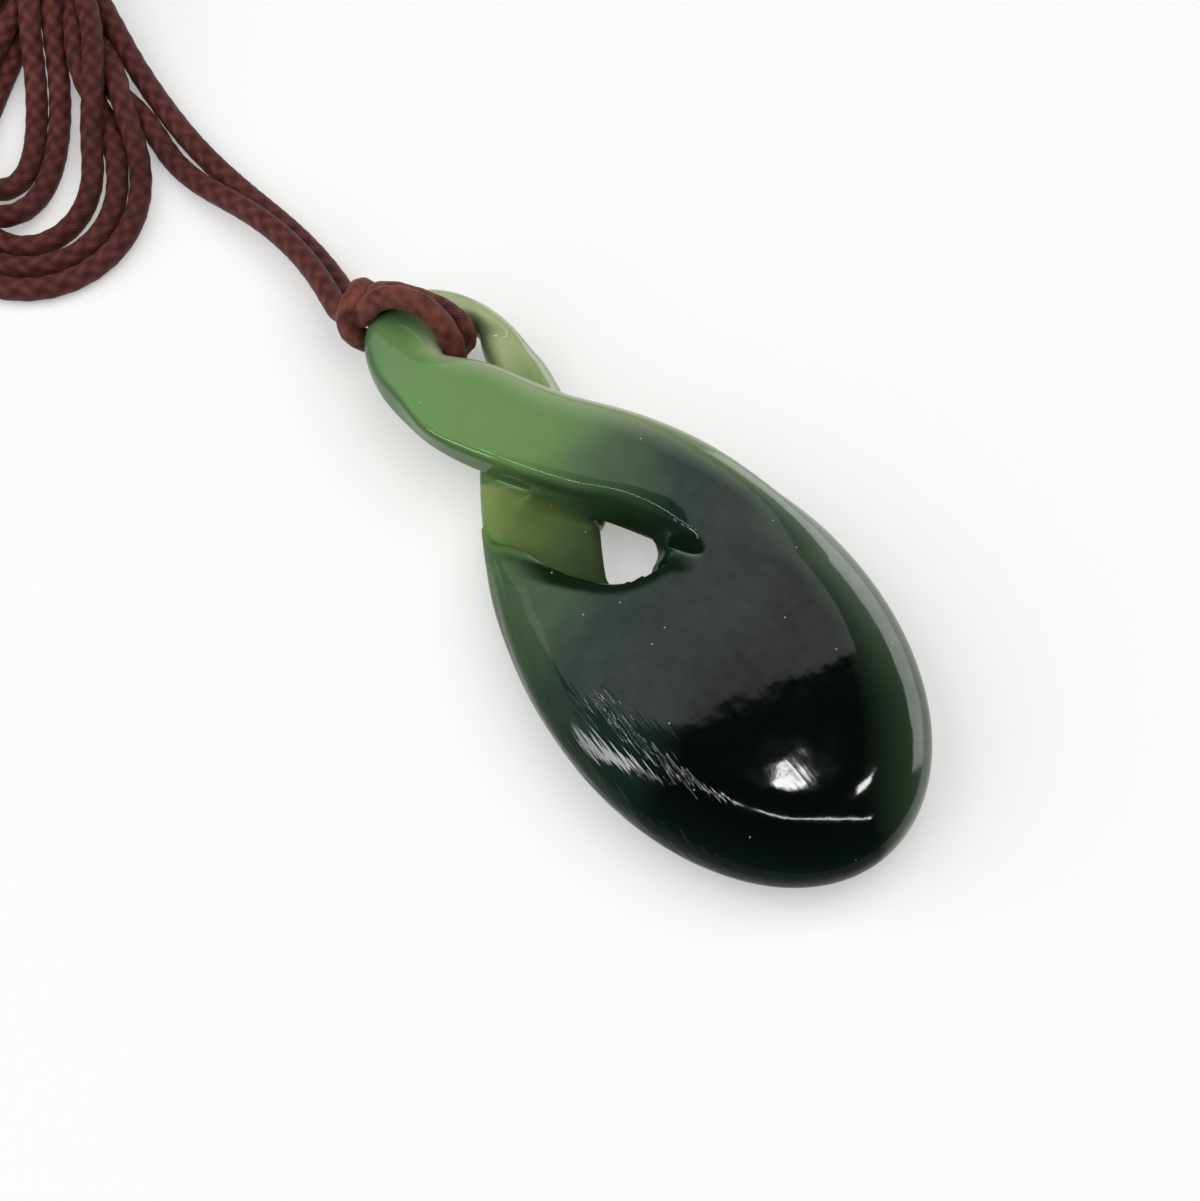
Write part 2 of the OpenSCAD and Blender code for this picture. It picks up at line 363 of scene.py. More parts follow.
def settled(tails, held):
    """Let the loops settle on each other. Each point is moved out of any cord that it lies in, at
    right angles to both where they run side by side, and the moves are evened out along the cord.
    The table rises from below during the first fifth, so what starts underneath stays there."""
    start = np.vstack(tails)
    count, first = len(start), len(tails[0])
    halves = (slice(0, first), slice(first, count))
    order = np.arange(count)
    other_tail = (order >= first)[:, None] != (order >= first)[None]
    later = order[None] - order[:, None]
    apart = (later > OWN_NEIGHBOURS) | (other_tail & (later > 0))
    moved = np.zeros_like(start)
    for turn in range(SETTLING):
        place = start + moved
        if turn % LOOK_AGAIN == 0:
            near = ((place[:, None] - place[None]) ** 2).sum(-1) < NEAR ** 2
            a, b = np.nonzero(near & apart)
            way = unit(np.vstack([np.gradient(place[half], axis=0) for half in halves]))
        between = place[a] - place[b]
        distance = np.linalg.norm(between, axis=1)
        inside = np.maximum(0, CORD - distance)
        alike = (way[a] * way[b]).sum(1)[:, None]
        common = unit(way[a] + np.sign(alike) * way[b])
        between -= alike ** 4 * (between * common).sum(1)[:, None] * common
        push = between * (inside / np.maximum(np.linalg.norm(between, axis=1), LEAST) / 2)[:, None]
        touching = sum(np.bincount(ends[inside > 0], minlength=count) for ends in (a, b))
        for axis in range(3):
            total = np.bincount(a, push[:, axis], count) - np.bincount(b, push[:, axis], count)
            moved[:, axis] += PUSH * total / np.maximum(touching, 1)
        for half in halves:
            moved[half] = eased(moved[half], EVENING, 1)
        place = start + moved
        beyond_tie = np.maximum(0, np.abs(place[:, 1]) - HELD_HALF)
        waist = WAIST_HALF + WIDENING * beyond_tie
        held_in = np.clip(place[:, 0], -waist, waist)
        place[:, 0] = np.where(beyond_tie < WAIST_LENGTH, held_in, place[:, 0])
        lowest = WAIST_LIFT * np.maximum(0, 1 - beyond_tie / LIFT_LENGTH) + CORD / 2
        lowest = lowest - TABLE_DROP * max(0, 1 - TABLE_SPEED * turn / SETTLING)
        highest = WAIST_TOP + HEIGHTENING * beyond_tie
        place[:, 2] = np.clip(place[:, 2] - SINKING, lowest, highest)
        moved = place - start
        moved[held] = 0
    place = start + moved
    return [eased(place[half], share=0.5, times=3) for half in halves]


def on_curve(points, step):
    """A smooth line through all the points, a natural cubic spline over the distance between them,
    with a new point at each step."""
    apart = np.linalg.norm(np.diff(points, axis=0), axis=1)
    along = distances(points)
    slopes = np.diff(points, axis=0) / apart[:, None]
    bend = np.zeros_like(points)
    rows = np.diag(2 * (apart[:-1] + apart[1:])) + np.diag(apart[1:-1], 1) + np.diag(apart[1:-1], -1)
    bend[1:-1] = np.linalg.solve(rows, 6 * np.diff(slopes, axis=0))
    at = np.linspace(0, along[-1], int(round(along[-1] / step)) + 1)
    k = np.clip(np.searchsorted(along, at) - 1, 0, len(apart) - 1)
    size, left, right = apart[k][:, None], (at - along[k])[:, None], (along[k + 1] - at)[:, None]
    return (bend[k] * right ** 3 + bend[k + 1] * left ** 3) / (6 * size) \
        + (points[k] / size - bend[k] * size / 6) * right \
        + (points[k + 1] / size - bend[k + 1] * size / 6) * left


def fuller(wave, fullness):
    """A sine or cosine swollen towards a box's side: its size to the power 2 / fullness, signed."""
    return np.sign(wave) * np.abs(wave) ** (2 / fullness)


def wrap_point(angle):
    """A place on the oval that the cord takes round the rim: 90 is over the rim, 180 in the hole."""
    angle = np.radians(angle)
    wave = np.stack([np.cos(angle), np.sin(angle)], axis=-1)
    return RIM_MIDDLE + WRAP_HALF * fuller(wave, WRAP_FULLNESS)


def wrap(side):
    """A tail's way out of the hole and over the rim. The near wrap rides up on the far one."""
    angle = np.linspace(WRAP_FROM, WRAP_TO, WRAP_POINTS)
    oval = wrap_point(angle)
    crest = np.maximum(0, np.sin(np.radians(angle))) ** 2 * (side < 0)
    points = np.column_stack([side * CORD / 2 + NEAR_WRAP_LEAN * crest, oval[:, 0],
                              oval[:, 1] + NEAR_WRAP_LIFT * crest])
    return turned(points, HITCH)


hank_right = [turned_back(LEAD_RIGHT, HANK), *map(hank_loop, LOOPS_RIGHT),
              to_knot("inner_mid", centre=(-2.2, 16.0), radius=4.4, side=0.95, high=4.4)]
hank_left = [turned_back(LEAD_LEFT, HANK), UNDER_LOOPS, *map(hank_loop, LOOPS_LEFT),
             to_knot("back_top", centre=(-4.0, 15.6), radius=4.5, side=-0.95, high=5.4)]
laid = [even(eased(even(np.vstack(parts), STEP / 3), share=0.9, times=60), STEP)
        for parts in (hank_right, hank_left)]
# The leads and the last three points before the knot stay where they are
lead_steps = [int(distances(lead)[-1] / STEP) for lead in (LEAD_RIGHT, LEAD_LEFT)]
first_left = len(laid[0])
last_three = np.arange(1, 4)
held = np.concatenate([
    np.arange(lead_steps[0]), first_left - last_three,
    first_left + np.arange(lead_steps[1]), first_left + len(laid[1]) - last_three])
RING_STEP = 0.22 * MM
tail_lines = [on_curve(np.vstack([wrap(side), turned(line, HANK)]), RING_STEP)
              for side, line in zip((1, -1), settled(laid, held))]

BRAID_PITCH = 6.8 * MM
BRAID_STRANDS = 4
BRAID_RELIEF = 0.09
BRAID_LEVEL = 0.62
BRAID_WEAVE = 0.38
CORD_SIDES = 28


def turned_ways(ways, axes):
    """Directions along the hitch's or the hank's axes, at length 1 along the pendant's own."""
    return turned(unit(ways), (0, axes[1]))


def piece(name, points, faces, material):
    """A smooth mesh that rides with the stone, with its finish."""
    mesh = bpy.data.meshes.new(name)
    mesh.from_pydata(points, [], faces)
    mesh.polygons.foreach_set("use_smooth", np.ones(len(mesh.polygons), bool))
    mesh.materials.append(material)
    made = in_scene(name, mesh)
    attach(made, "root")
    return made


def store(made, name, values):
    """Keep a value at each point of a mesh, for its finish to read."""
    made.data.attributes.new(name, "FLOAT", "POINT").data.foreach_set("value", values.astype(np.float32))


def carried(line, up, across):
    """A ring carried along a line. across is a function of the angle round the ring and the distance
    along the line that gives the radius. Returns points, faces and the angle and distance of each."""
    way = unit(np.gradient(line, axis=0))
    side = unit(np.cross(way, up))
    over = np.cross(side, way)
    along = distances(line)
    angle = np.arange(CORD_SIDES) * 2 * np.pi / CORD_SIDES
    around, distance = np.meshgrid(angle, along)
    radius = across(around, distance)[..., None]
    rings = line[:, None] + radius * (side[:, None] * np.cos(around)[..., None]
                                      + over[:, None] * np.sin(around)[..., None])
    points = np.vstack([rings.reshape(-1, 3), line[:1], line[-1:]])
    points[:, 2] = np.maximum(points[:, 2], 0)
    ring = np.arange(len(line) - 1)[:, None] * CORD_SIDES
    here = np.arange(CORD_SIDES)[None]
    there = (here + 1) % CORD_SIDES
    walls = np.stack([ring + here, ring + CORD_SIDES + here, ring + CORD_SIDES + there, ring + there], -1)
    last = (len(line) - 1) * CORD_SIDES
    caps = [(len(points) - 2, k, (k + 1) % CORD_SIDES) for k in range(CORD_SIDES)] \
        + [(len(points) - 1, last + (k + 1) % CORD_SIDES, last + k) for k in range(CORD_SIDES)]
    return points, walls.reshape(-1, 4)[:, ::-1].tolist() + caps, around, distance


def braid(around, distance, pitch):
    """How far the braid stands up, 0 to 1. Strands run round the cord both ways, as waves of the
    angle plus or minus the distance, and at each crossing the one or the other is on top in turn."""
    one, two = [np.cos(BRAID_STRANDS * (around + way * 2 * np.pi * distance / pitch) / 2)
                for way in (-1, 1)]
    on_top = BRAID_WEAVE * (one * two)
    return np.maximum(np.abs(one) * (BRAID_LEVEL + on_top), np.abs(two) * (BRAID_LEVEL - on_top))


def braided(name, line, up, diameter=CORD):
    """A braided cord along a line, with the braid raised on it and kept as an attribute, and with a
    UV map of the share round it and the braid's pitches along it."""
    pitch = BRAID_PITCH * diameter / CORD

    def radius(around, distance):
        return diameter / 2 * (1 - BRAID_RELIEF + BRAID_RELIEF * braid(around, distance, pitch))

    points, faces, around, distance = carried(line, up, radius)
    made = piece(name, points, faces, waxed_braid)
    store(made, "raised", np.append(braid(around, distance, pitch).ravel(), [0.5, 0.5]))
    corner = np.zeros(len(made.data.loops), np.int32)
    made.data.loops.foreach_get("vertex_index", corner)
    flat = np.vstack([np.column_stack([around.ravel() / (2 * np.pi), distance.ravel() / pitch]),
                      [[0.5, 0], [0.5, distance.max() / pitch]]])
    uv = flat[corner].reshape(-1, 2)
    walls = (len(line) - 1) * CORD_SIDES * 4
    wrapped = uv[:walls].reshape(-1, 4, 2)
    seam = wrapped[:, :, 0].max(1) - wrapped[:, :, 0].min(1) > 0.5
    wrapped[seam, :, 0] += wrapped[seam, :, 0] < 0.5
    made.data.uv_layers.new(name="along").data.foreach_set("uv", uv.ravel().astype(np.float32))
    return made


# Painted shade on the braid: colours by how far it stands up, darkest in the dents, lightest on the
# crowns
BRAID_SHADE_COLOURS = [(0.3, (0.042, 0.011, 0.011)), (0.6, (0.08, 0.02, 0.02)), (1.0, (0.135, 0.038, 0.038))]
# Painted shade, laid over the cord in broad patches at random
SHADE_PATCH_COLOUR = (0.020, 0.005, 0.005, 1)
# Painted highlights: orange-brown patches at random, strongest round a place near the hitch
ORANGE_HIGHLIGHT_COLOUR = (0.27, 0.085, 0.045, 1)
HIGHLIGHT_PATCHES = [(0.42, (0.1, 0.1, 0.1)), (0.68, (1, 1, 1))]
HIGHLIGHT_CENTRE = (-0.0035, 0.0255, 0.006)
HIGHLIGHT_REACH = 0.0055
HIGHLIGHT_FADE = 300.0
YARNS = 5.0


def waxed_cord_finish():
    """Dark maroon waxed yarn, with painted shade: lighter on the crowns of the braid, near black in its
    dents and in broad patches at random. Painted orange-brown highlights lie in patches, most near the
    hitch, and fine yarns are relief."""
    s = Shader("waxed_braid")
    place = s.node("TexCoord").outputs["Object"]
    raised = s.stored("raised")
    patches = s.noise(place, scale=420.0, detail=3.0, roughness=0.6)
    broad = s.noise(place, scale=90.0, detail=2.0)
    # painted shade: the braid is darker in its dents and lighter on its crowns
    braid_shade = s.ramp(raised, BRAID_SHADE_COLOURS)
    # painted shade in broad patches at random
    shade_patches = s.minus(0.95, s.times(broad, 1.5), clamp=True)
    braid_shade = s.mix(shade_patches, braid_shade, SHADE_PATCH_COLOUR)
    # painted highlight: orange-brown patches, strongest near the hitch and fainter at random elsewhere
    highlight_patches = s.ramp(patches, HIGHLIGHT_PATCHES)
    away = s.node("VectorMath", {0: place, 1: HIGHLIGHT_CENTRE}, operation="DISTANCE").outputs["Value"]
    highlight_near_hitch = s.minus(1.0, s.times(s.minus(away, HIGHLIGHT_REACH), HIGHLIGHT_FADE, clamp=True))
    painted_highlight = s.times(highlight_patches, s.weighed(highlight_near_hitch, broad, (0.45, 0.22)))
    colour = s.mix(painted_highlight, braid_shade, ORANGE_HIGHLIGHT_COLOUR)
    uv = s.node("SeparateXYZ", {0: s.node("UVMap", uv_map="along").outputs[0]})
    turn = 2 * np.pi * BRAID_STRANDS
    around, along = s.times(uv.outputs[0], turn), s.times(uv.outputs[1], turn)
    one, two = s.minus(around, along), s.plus(around, along)
    halves = [s.math("COSINE", s.times(x, 0.5)) for x in (one, two)]
    first_on_top = s.math("GREATER_THAN", s.times(*halves), 0.0)
    yarns = [s.math("SINE", s.times(x, YARNS)) for x in (one, two)]
    picked = s.node("Mix", {"Factor": first_on_top, 2: yarns[1], 3: yarns[0]}).outputs[0]
    fuzz = s.noise(place, scale=3500.0, detail=2.0)
    fibres = s.relief(s.plus(s.times(picked, 0.5), fuzz), strength=0.4, distance=0.00005)
    return s.finish(Base_Color=colour, Normal=fibres, Roughness=0.55, Specular_IOR_Level=0.15,
                    Sheen_Weight=0.08, Sheen_Roughness=0.4, Sheen_Tint=(0.9, 0.6, 0.55, 1))


waxed_braid = waxed_cord_finish()


RIM_REACH = 5 * MM
RIM_FADE = 2 * MM


def up_at_rim(line):
    """Upwards along the cord, and away from the rim's middle near the hitch, so that the frame of a
    cord that goes straight down into the hole doesn't spin."""
    local = turned_back(line, HITCH)
    away = np.column_stack([np.zeros(len(local)), local[:, 1:] - RIM_MIDDLE])
    distance = np.linalg.norm(away, axis=1)
    away = turned_ways(away, HITCH)
    share = np.clip((distance - RIM_REACH) / RIM_FADE, 0, 1)[:, None]
    return unit(away * (1 - share) + np.array([0, 0, 1]) * share)


tails = [braided(name, line, up_at_rim(line)) for name, line in
         zip(("cord_tail_right", "cord_tail_left"), tail_lines)]
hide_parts("cord_hitch", "cord_lead_right", "cord_hank")
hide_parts("cord_hitch", "cord_lead_left", "cord_hank")

# Hitch. The middle of the same cord goes behind the rim in two legs and bridges the tails where they
# leave the stone, which pulls them tight to the rim.
BRIDGE = np.array([[1.5, 8.2, 2.9], [1.7, 8.8, 4.1], [1.0, 9.1, 5.2], [0.0, 9.0, 5.5]]) * MM
BIGHT_ANGLES = np.array([185, 215, 245, 275, 305])


def bight():
    """One leg from the hole round behind the rim, the bridge, and the other leg back."""
    leg = wrap_point(BIGHT_ANGLES)
    half = np.vstack([np.column_stack([np.full(len(leg), CORD / 2), leg]), BRIDGE])
    other = (half * [-1, 1, 1])[::-1][1:]
    return turned(np.vstack([half, other]), HITCH)


bight_line = on_curve(bight(), RING_STEP)
bight_local = turned_back(bight_line, HITCH) - [0, *RIM_MIDDLE]
cord_bight = braided("cord_bight", bight_line, turned_ways(bight_local * [0, 1, 1], HITCH))
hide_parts("cord_hitch")

# Tie. Five close turns of a thin thread of the same yarn, wound round the waist of the gathered
# cord to hold its loops together.
THREAD = 0.85 * MM
TIE_TURNS = 5
TIE_BOX = np.array([3.45, 2.55]) * MM
TIE_MIDDLE = 2.95 * MM
TIE_FULLNESS = 3.2
TIE_POINTS = 60
TIE_APART = 1.02
TUCK = 0.35
TUCK_TURNS = 0.3


def tie():
    """A helix on a rounded box round the waist, its ends tucked inwards."""
    turn = np.linspace(0, TIE_TURNS * 2 * np.pi, TIE_TURNS * TIE_POINTS)
    past = np.abs(turn / turn[-1] - 0.5) * 2 * TIE_TURNS - TIE_TURNS + TUCK_TURNS
    tuck = 1 - TUCK * np.clip(past, 0, TUCK_TURNS) / TUCK_TURNS
    across = TIE_BOX[0] * fuller(np.cos(turn), TIE_FULLNESS) * tuck
    up = TIE_MIDDLE + TIE_BOX[1] * fuller(np.sin(turn), TIE_FULLNESS) * tuck
    along = (turn / turn[-1] - 0.5) * (TIE_TURNS - 1) * THREAD * TIE_APART
    return np.column_stack([across, along, np.maximum(up, THREAD / 2)])


tie_line = on_curve(eased(tie(), share=0.5, times=2), THREAD / 5)
tie_away = (tie_line - [0, 0, TIE_MIDDLE]) * [1, 0, 1]
hank_tie = braided("thread_tie", turned(tie_line, HANK),
                   turned_ways(tie_away, HANK), THREAD)
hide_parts("hank_tie")

# Knot. The two ends of the necklace go into a barrel of close turns of the same cord, pulled tight
# round them.
BARREL_RADIUS = 1.3 * MM
BARREL_TURNS = 3
BARREL_LENGTH = 3.3 * MM
BARREL_POINTS = 40
BARREL_END = 0.5
BARREL_CORE = 0.25
NOT_ZERO = 1e-6


def barrel():
    """A helix whose radius shrinks to nothing at both ends, so that they disappear in the barrel."""
    turn = np.linspace(-BARREL_END, BARREL_TURNS + BARREL_END, BARREL_TURNS * BARREL_POINTS)
    inwards = np.minimum(turn + BARREL_END, BARREL_TURNS + BARREL_END - turn) / BARREL_END
    radius = BARREL_RADIUS * (BARREL_CORE + (1 - BARREL_CORE) * np.clip(inwards, 0, 1) ** 0.5)
    angle = 2 * np.pi * turn
    along = (np.clip(turn, 0, BARREL_TURNS) / BARREL_TURNS - 0.5) * BARREL_LENGTH
    return np.column_stack([radius * np.cos(angle), along, radius * np.sin(angle)]) + KNOT_CENTRE


barrel_line = on_curve(eased(barrel(), share=0.5, times=4), RING_STEP)
barrel_away = (barrel_line - KNOT_CENTRE) * [1, 0, 1] + [NOT_ZERO, 0, 0]
closure_knot = braided("closure_knot_barrel", turned(barrel_line, HANK),
                       turned_ways(barrel_away, HANK))
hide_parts("closure_knot")

# Stone. One piece of greenstone, sawn from a slab 7 mm thick. Its upper part is carved as a strand
# that loops round and crosses behind itself, it is pierced for the cord, and it is polished all over.
SLAB_MIDDLE = 3.5
LOBE_WIDEST = -10.0
LOBE_HALF = 12.5
LOBE_BELOW = 18.3
LOBE_ABOVE = 28.9
LOBE_END = 8.0
LOBE_TOP = 14
LEAN_RIGHT, LEAN_LEFT = 0.045, 0.015
BEVEL = 5.6
EDGE_POWER, CROWN_POWER, MEAN_POWER = 2.3, 2.5, 2.4
FIELD_SCALE = 3
# Strands: left edge x, y; right edge x, y; underside; top; how crisp the left edge is; how far its
# wall leans outwards per millimetre of depth
FRONT = np.array([
    [4.6, -7.5, 11, -9, 3.4, 6.4, 1, 0.2],
    [3.7, -3.2, 11.2, -5.5, 3.4, 6.7, 1, 0.2],
    [2.5, 0.1, 9.5, 2.2, 3.4, 6.9, 1, 0.2],
    [0.9, 2.8, 8, 5.6, 3.4, 7, 1, 0.2],
    [-1.3, 5.3, 5.8, 9.2, 3.3, 7, 1, 0],
    [-4.1, 9.2, 2.9, 12.9, 3.3, 7, 1, -0.2],
    [-6.1, 12.6, 0.9, 16.5, 3.3, 6.8, 1, -0.18],
    [-7.4, 16.1, -0.6, 19, 3.2, 6.5, 1, -0.15]])
BACK = np.array([
    [4.1, 16.9, 0.3, 18.6, 0.5, 4.1, 0, 0],
    [3.7, 13.2, -1.9, 16.2, 0.1, 3.9, 0, 0],
    [3.2, 9, -4.5, 13, 0, 3.9, 0, 0],
    [0.5, 5.2, -6.8, 9.2, 0.1, 3.9, 0, 0],
    [-1.4, 2.4, -8.6, 5.7, 0.15, 3.8, 0, 0],
    [-2.8, -0.2, -10, 2, 0.2, 3.7, 0, 0],
    [-4, -3.5, -11.1, -5, 0.3, 3.4, 0, 0],
    [-4.6, -7.5, -10.8, -9, 0.5, 3.3, 0, 0]])
LOOP_CENTRE = np.array([-1.75, 19.8])
LOOP_HALF = np.array([5.75, 7.6])
LOOP_SLANT = 1.3
LOOP_ROWS = 14
LOOP_START, LOOP_SWEEP, HOLE_SWEEP = 190, 187, 204
LOOP_CRISP = 0.22
CORD_HOLE_HALF = np.array([2.05, 1.15])
CORD_HOLE = np.array([-0.4, 21.4]), np.radians(34)
LOOP_MIDDLE = 3.9
LOOP_THICK = 3.4
FULLNESS = 2.6
CUT_ROUND, FOOT_ROUND = 0.42, 0.6
# The edge where the front strand stands over the other, and the lip below the eye, seen from above
CREST = np.array([[-8.2, 19], [-7.5, 16], [-6, 12.6], [-4.1, 9.2], [-1.3, 5.3], [0.9, 2.8], [2.5, 0.1],
                  [3.3, -2]])
LIP = np.array([[3, -3.6], [1.9, -3.9], [0.5, -3.2], [-0.7, -3.1], [-2.3, -2.9], [-3.6, -2.3],
                [-4.9, -1.1], [-5.9, 0.1], [-6.6, 1.1], [-7.3, 2.2], [-8, 3.7], [-8.9, 5.5], [-10.6, 8]])
FAR_LEFT = np.array([[-15.0, 12.0], [-15.0, 24.0]])
EYE = np.array([[-0.15, 4.7], [0.75, 2.7], [1.15, 1.2], [1.3, -0.2], [1, -1.1], [0.2, -1.7], [-1.1, -1.8],
                [-1.9, -1.3], [-2.3, -0.4], [-1.9, 0.9], [-1.1, 2.7]])
PLAN_STEP = 0.25
ROW_STEP = 0.45
CREST_TOP = 6.45
CREST_DROP = 0.3
CREST_LEAN = 0.2
STRAND_TOP = 3.45
STRAND_SLOPE = 0.13
LIP_RISE = 3.3
LIP_WIDTH, LIP_WIDER = 0.9, 1.8
BESIDE_EYE = 3.9
SIDE_ROUND, EYE_ROUND, LOBE_ROUND, BEHIND_ROUND, PIT_ROUND = 0.5, 0.8, 0.8, 1.2, 0.5
PIT = np.array([2.6, -2.3, 6.4])
PIT_HALF = np.array([0.75, 1.5, 1.7])
PIT_TURN = np.radians(22)


def smooth_max(a, b, radius):
    """The larger of the two, with the corner between them rounded over that radius."""
    return np.maximum(a, b) + np.maximum(radius - np.abs(a - b), 0) ** 2 / (4 * radius)


def smooth_min(a, b, radius):
    """The smaller of the two, with the corner between them rounded over that radius."""
    return -smooth_max(-a, -b, radius)


def off_line(x, y, line):
    """How far each place in the plan is from a line made of straight pieces."""
    nearest = np.full(x.shape, np.inf)
    for (ax, ay), (bx, by) in zip(line[:-1], line[1:]):
        share = ((x - ax) * (bx - ax) + (y - ay) * (by - ay)) / ((bx - ax) ** 2 + (by - ay) ** 2)
        share = np.clip(share, 0, 1)
        nearest = np.minimum(nearest, np.hypot(x - ax - share * (bx - ax), y - ay - share * (by - ay)))
    return nearest


def within(x, y, corners):
    """-1 inside the closed outline and 1 outside it."""
    inside = np.zeros(x.shape, bool)
    for (ax, ay), (bx, by) in zip(corners, np.roll(corners, -1, axis=0)):
        if ay != by:
            inside ^= ((ay > y) != (by > y)) & (x < ax + (y - ay) * (bx - ax) / (by - ay))
    return np.where(inside, -1.0, 1.0)


def lobe_half_width(y, leaning):
    """Half the lobe's width: an ellipse below its widest line, and above it a parabola that leans in."""
    below = np.sqrt(np.maximum(0, 1 - ((y - LOBE_WIDEST) / LOBE_BELOW) ** 2))
    above = 1 - ((y - LOBE_WIDEST) / LOBE_ABOVE) ** 2
    return LOBE_HALF * np.where(y < LOBE_WIDEST, below, above) - leaning * (np.hypot(y + 5, 2) + y + 5)


def loop_rows():
    """Rows of the ring between a slanted ellipse and the turned oval hole for the cord, from left to
    right. Its middle height falls by the square of the way from the loop's top to its right foot."""
    share = np.linspace(0, 1, LOOP_ROWS)[:, None]
    angle = np.radians(LOOP_START - LOOP_SWEEP * share)
    outer = LOOP_CENTRE + LOOP_HALF * np.hstack([np.cos(angle), np.sin(angle)])
    outer[:, 1:] -= LOOP_SLANT * np.cos(angle)
    angle = np.radians(LOOP_START - HOLE_SWEEP * share) - CORD_HOLE[1]
    oval = CORD_HOLE_HALF * np.hstack([np.cos(angle), np.sin(angle)])
    inner = turned(np.hstack([oval, share]), CORD_HOLE)[:, :2]
    middle = LOOP_MIDDLE + np.where(share < 0.5, 0.7 * (1 - 2 * share) ** 2, -1.5 * (2 * share - 1) ** 2)
    crisp = 1 - eased_step(share / LOOP_CRISP)
    low, high = middle - LOOP_THICK / 2, middle + LOOP_THICK / 2
    return np.hstack([outer, inner, low, high, crisp, 0 * share])


def plan_of_strand(rows, x, y):
    """Where each place lies on a strand: how far across it, -1 at its left edge and 1 at its right
    one, and the strand's half width, underside, top, crispness and lean there."""
    middle, across = (rows[:, :2] + rows[:, 2:4]) / 2, (rows[:, 2:4] - rows[:, :2]) / 2
    half = np.linalg.norm(across, axis=1)
    way = across / half[:, None]
    off = np.stack([x.ravel(), y.ravel()], 1)[:, None] - middle
    ahead = off[..., 1] * way[:, 0] - off[..., 0] * way[:, 1]
    aside = (off * way).sum(-1) / half
    passed = (ahead[:, :-1] >= 0) & (ahead[:, 1:] < 0)
    k = np.argmin(np.where(passed, np.abs(aside[:, :-1]), 9.0), axis=1)
    at = np.arange(len(k))
    share = ahead[at, k] / (ahead[at, k] - ahead[at, k + 1] + 1e-9)
    share = np.where(passed[at, k], share, 0)
    value = rows[k, 4:] * (1 - share[:, None]) + rows[k + 1, 4:] * share[:, None]
    place = np.where(passed[at, k], aside[at, k] * (1 - share) + aside[at, k + 1] * share, 4.0)
    width = half[k] * (1 - share) + half[k + 1] * share
    return [v.reshape(x.shape) for v in (place, width, *value.T)]


def strand(plan, z):
    """Inside or outside a strand: a rounded oval section, with a crisp left edge over a wall where
    the rows say so."""
    place, width, low, high, crisp, lean = plan
    middle, half = (low + high) / 2, (high - low) / 2
    oval = (np.abs(place) ** FULLNESS + np.abs((z - middle) / half) ** FULLNESS) ** (1 / FULLNESS)
    oval = (oval - 1) * np.minimum(width, half)
    top = z - high + CREST_DROP * np.clip(-place, 0, 1.1) ** 6
    wall = -(place + 1) * width - lean * (CREST_TOP - z)
    cut = smooth_max(smooth_max(top, wall, CUT_ROUND), low - z, FOOT_ROUND)
    share = np.clip(crisp, 0, 1) * eased_step(-place / 0.5)
    return oval * (1 - share) + cut * share


def strand_slope(x, y):
    """Height of the slanting top of the strand behind, beside the eye."""
    return STRAND_TOP - STRAND_SLOPE * (x + 5) + 4 * eased_step((y - 6) / 5)


def plan_of_side(x, y, eye):
    """For the side of the lobe that faces up: how far inside the cut above the lip each place is from
    the crest, the height of the cut's floor, and how far past the lip it is. The floor is the strand
    below, rising to the lip by a bell curve that widens to the left, and rising from the eye to the
    right."""
    crest_line, lip_line = on_curve(CREST, PLAN_STEP), on_curve(LIP, PLAN_STEP)
    region = within(x, y, np.vstack([crest_line, lip_line, FAR_LEFT]))
    crest, lip = region * off_line(x, y, crest_line), region * off_line(x, y, lip_line)
    width = LIP_WIDTH + LIP_WIDER * eased_step((-5.0 - x) / 3.5)
    bell = LIP_RISE * np.exp(-(np.maximum(-lip, 0) / width) ** 2)
    over = strand_slope(x, y) + bell + 4 * np.maximum(lip, 0)
    over = over - 2.8 * eased_step((y - 3.5) / 4)
    amount = 0.7 + 2.9 * eased_step((1.6 - y) / 4.2)
    ramp = BESIDE_EYE + amount * (1 - np.exp(-np.maximum(eye, 0) / 0.9)) - 4 * eased_step((0.4 - x) / 1.2)
    return crest, smooth_max(ramp, over, 0.4), lip


def lobe_plan(x, y):
    """How near each place is to the lobe's outline, 0 inside its bevel and 1 on the outline, and half
    the lobe's thickness there. It thins by the squares of the ways sideways and towards the foot,
    and in two smooth steps towards the strands."""
    side = np.linspace(-1, 1, 161)
    rows = LOBE_WIDEST - LOBE_BELOW * np.cos((side + 1) * np.pi / 4)
    rows = np.concatenate([rows, np.linspace(LOBE_WIDEST, LOBE_TOP, 60)[1:]])
    right, left = [np.column_stack([way * lobe_half_width(rows, leaning), rows])
                   for way, leaning in ((1, LEAN_RIGHT), (-1, LEAN_LEFT))]
    outline = np.vstack([right[::-1], left[1:]])
    inset = -within(x, y, outline) * off_line(x, y, outline)
    half = SLAB_MIDDLE - 0.0022 * x ** 2 - 0.003 * np.minimum(0, y + 12) ** 2
    half = half - 0.4 * eased_step((y + 5) / 6) - 1.3 * eased_step((y - 1) / 6)
    return np.maximum(0, 1 - inset / BEVEL), half


def stone_plan(x, y):
    """All that depends on the place in the plan alone. The strand is one line of rows from the right
    shoulder, round the loop and down to the left shoulder, and is cut in two where it has turned back."""
    loop = loop_rows()
    rows = on_curve(np.vstack([FRONT, loop, BACK]), ROW_STEP)
    turn = np.argmin(np.linalg.norm(rows - loop[-1], axis=1))
    rim_of_eye = on_curve(np.vstack([EYE, EYE[:1]]), PLAN_STEP)
    eye = within(x, y, rim_of_eye) * off_line(x, y, rim_of_eye)
    sides = [plan_of_side(way * x, y, eye) for way in (1, -1)]
    front, back = [plan_of_strand(part, x, y) for part in (rows[:turn + 4], rows[turn - 3:])]
    return front, back, lobe_plan(x, y), sides, eye, x, y


